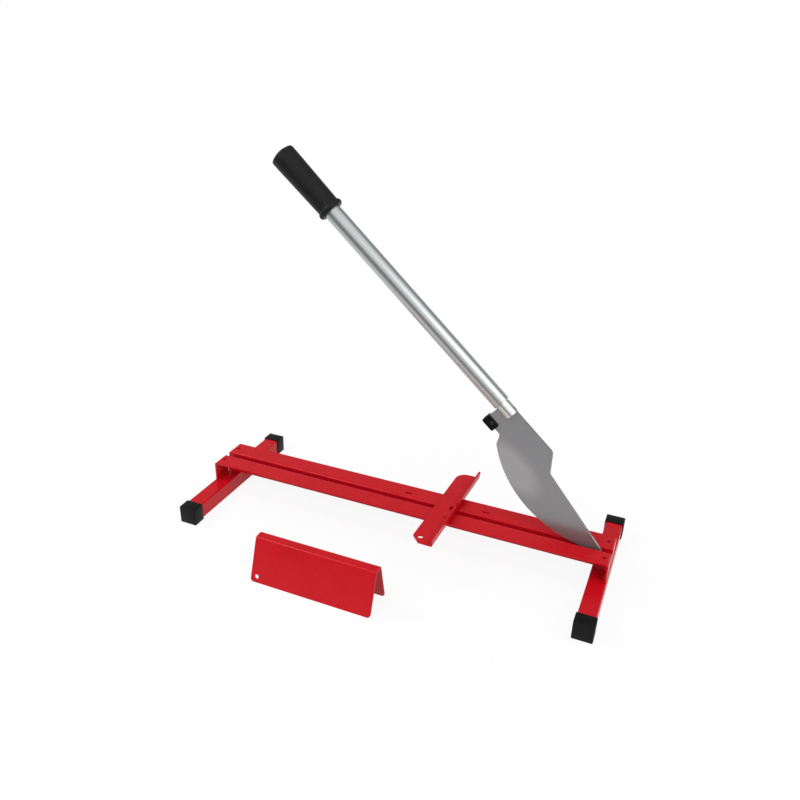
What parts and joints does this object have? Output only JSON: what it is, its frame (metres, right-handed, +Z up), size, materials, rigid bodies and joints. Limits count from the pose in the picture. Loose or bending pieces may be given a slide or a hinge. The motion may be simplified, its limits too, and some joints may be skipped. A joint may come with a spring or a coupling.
{
  "type": "laminate flooring cutter",
  "caption": "Lever guillotine for laminate boards: curved blade on a long handle, slotted rail beam on two feet, swivelling fence, and a loose folded panel stand.",
  "frame": {"origin": "on the bench, in the middle of the box around the cutter and its loose stand", "axes": "+X along the beam towards the pivot, +Y to the rear, away from the loose stand, +Z up"},
  "size_m": [0.6356, 0.337, 0.5566],
  "materials": {
    "red_paint": "gloss powder coat",
    "cap_plastic": "satin moulded plastic",
    "blade_steel": "satin ground steel",
    "bright_tube": "bright zinc-plated steel",
    "zinc_steel": "zinc-plated fasteners",
    "bush_bronze": "sintered bronze",
    "grip_rubber": "smooth rubber",
    "bumper_rubber": "matt rubber"
  },
  "bodies": {
    "frame": {"front_rail": "red_paint", "rear_rail": "red_paint", "left_foot": "red_paint", "right_foot": "red_paint", "left_front_cap": "cap_plastic", "left_rear_cap": "cap_plastic", "right_front_cap": "cap_plastic", "right_rear_cap": "cap_plastic", "pivot_bolt": "zinc_steel", "pivot_nut": "zinc_steel", "pivot_washers": "zinc_steel", "pivot_spacers": "zinc_steel", "fence_stud": "red_paint", "stud_washer": "zinc_steel", "stud_nut": "zinc_steel"},
    "lever": {"blade": "blade_steel", "pivot_bush": "bush_bronze", "handle_socket": "bright_tube", "handle_tube": "bright_tube", "handle_grip": "grip_rubber", "stop_bumper": "bumper_rubber", "bumper_screw": "zinc_steel", "bumper_nut": "zinc_steel"},
    "fence": {"fence": "red_paint"},
    "stand": {"support_stand": "red_paint"}
  },
  "joints": [
    {"name": "blade_pivot", "type": "hinge", "parent": "frame", "child": "lever", "pos_m": [0.28575, 0.0335, 0.0464], "axis": [0, 1, 0], "range_deg": [-41.74, 45]},
    {"name": "fence_swivel", "type": "hinge", "parent": "frame", "child": "fence", "pos_m": [0.07875, 0.0135, 0.0579], "axis": [0, 0, 1], "range_deg": [0, 20]},
    {"name": "stand_lift", "type": "slide", "parent": "frame", "child": "stand", "axis": [0, 0, 1], "range_m": [0, 0.2]}
  ]
}
